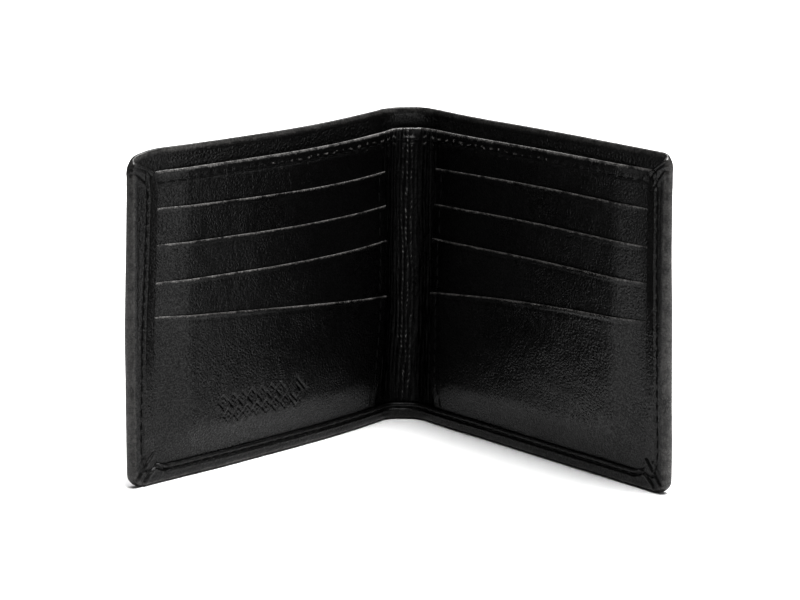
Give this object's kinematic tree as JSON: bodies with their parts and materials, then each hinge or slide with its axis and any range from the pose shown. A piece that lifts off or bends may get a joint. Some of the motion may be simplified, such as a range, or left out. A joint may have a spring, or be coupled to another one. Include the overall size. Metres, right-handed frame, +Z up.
{
  "type": "bifold wallet",
  "caption": "Black leather bifold wallet standing open in a V, with a note compartment, stepped card pockets on both wings and turned, stitched edges.",
  "frame": {"origin": "bottom centre of the wallet's box, as it stands open on its lower edge", "axes": "+Z up, +Y towards the spine at the back, the wings open forward to -Y and out along X"},
  "size_m": [0.1488, 0.0834, 0.095],
  "materials": {
    "shell_leather": "smooth black leather with a soft sheen",
    "inner_leather": "fine-grained black leather, satin",
    "lining_fabric": "plain-woven black lining",
    "stiffener_board": "bonded-fibre stiffener, matt",
    "thread": "twisted polyester thread"
  },
  "bodies": {
    "spine": {"spine_inner_lining": "lining_fabric", "spine_inner_strip": "inner_leather", "spine_note_lining": "lining_fabric", "spine_outer_shell": "shell_leather", "spine_stitching": "thread"},
    "left_wing": {"left_card_panel": "inner_leather", "left_card_pocket_1": "inner_leather", "left_card_pocket_2": "inner_leather", "left_card_pocket_3": "inner_leather", "left_card_pocket_4": "inner_leather", "left_card_pocket_lining_1": "lining_fabric", "left_card_pocket_lining_2": "lining_fabric", "left_card_pocket_lining_3": "lining_fabric", "left_hem_stitching": "thread", "left_inner_lining": "lining_fabric", "left_note_lining": "lining_fabric", "left_outer_shell": "shell_leather", "left_pocket_stitching": "thread", "left_shell_board": "stiffener_board", "left_slip_pocket_backing": "lining_fabric", "left_top_stitching": "thread"},
    "right_wing": {"right_card_panel": "inner_leather", "right_card_pocket_1": "inner_leather", "right_card_pocket_2": "inner_leather", "right_card_pocket_3": "inner_leather", "right_card_pocket_4": "inner_leather", "right_card_pocket_lining_1": "lining_fabric", "right_card_pocket_lining_2": "lining_fabric", "right_card_pocket_lining_3": "lining_fabric", "right_hem_stitching": "thread", "right_inner_lining": "lining_fabric", "right_note_lining": "lining_fabric", "right_outer_shell": "shell_leather", "right_pocket_stitching": "thread", "right_shell_board": "stiffener_board", "right_slip_pocket_backing": "lining_fabric", "right_top_stitching": "thread"}
  },
  "joints": [
    {"name": "left_wing_fold", "type": "hinge", "parent": "spine", "child": "left_wing", "pos_m": [-0.0065, 0.04119, 0], "axis": [0, 0, -1], "range_deg": [-40, 50]},
    {"name": "right_wing_fold", "type": "hinge", "parent": "spine", "child": "right_wing", "pos_m": [0.0065, 0.04119, 0], "axis": [0, 0, 1], "range_deg": [-40, 50]}
  ]
}
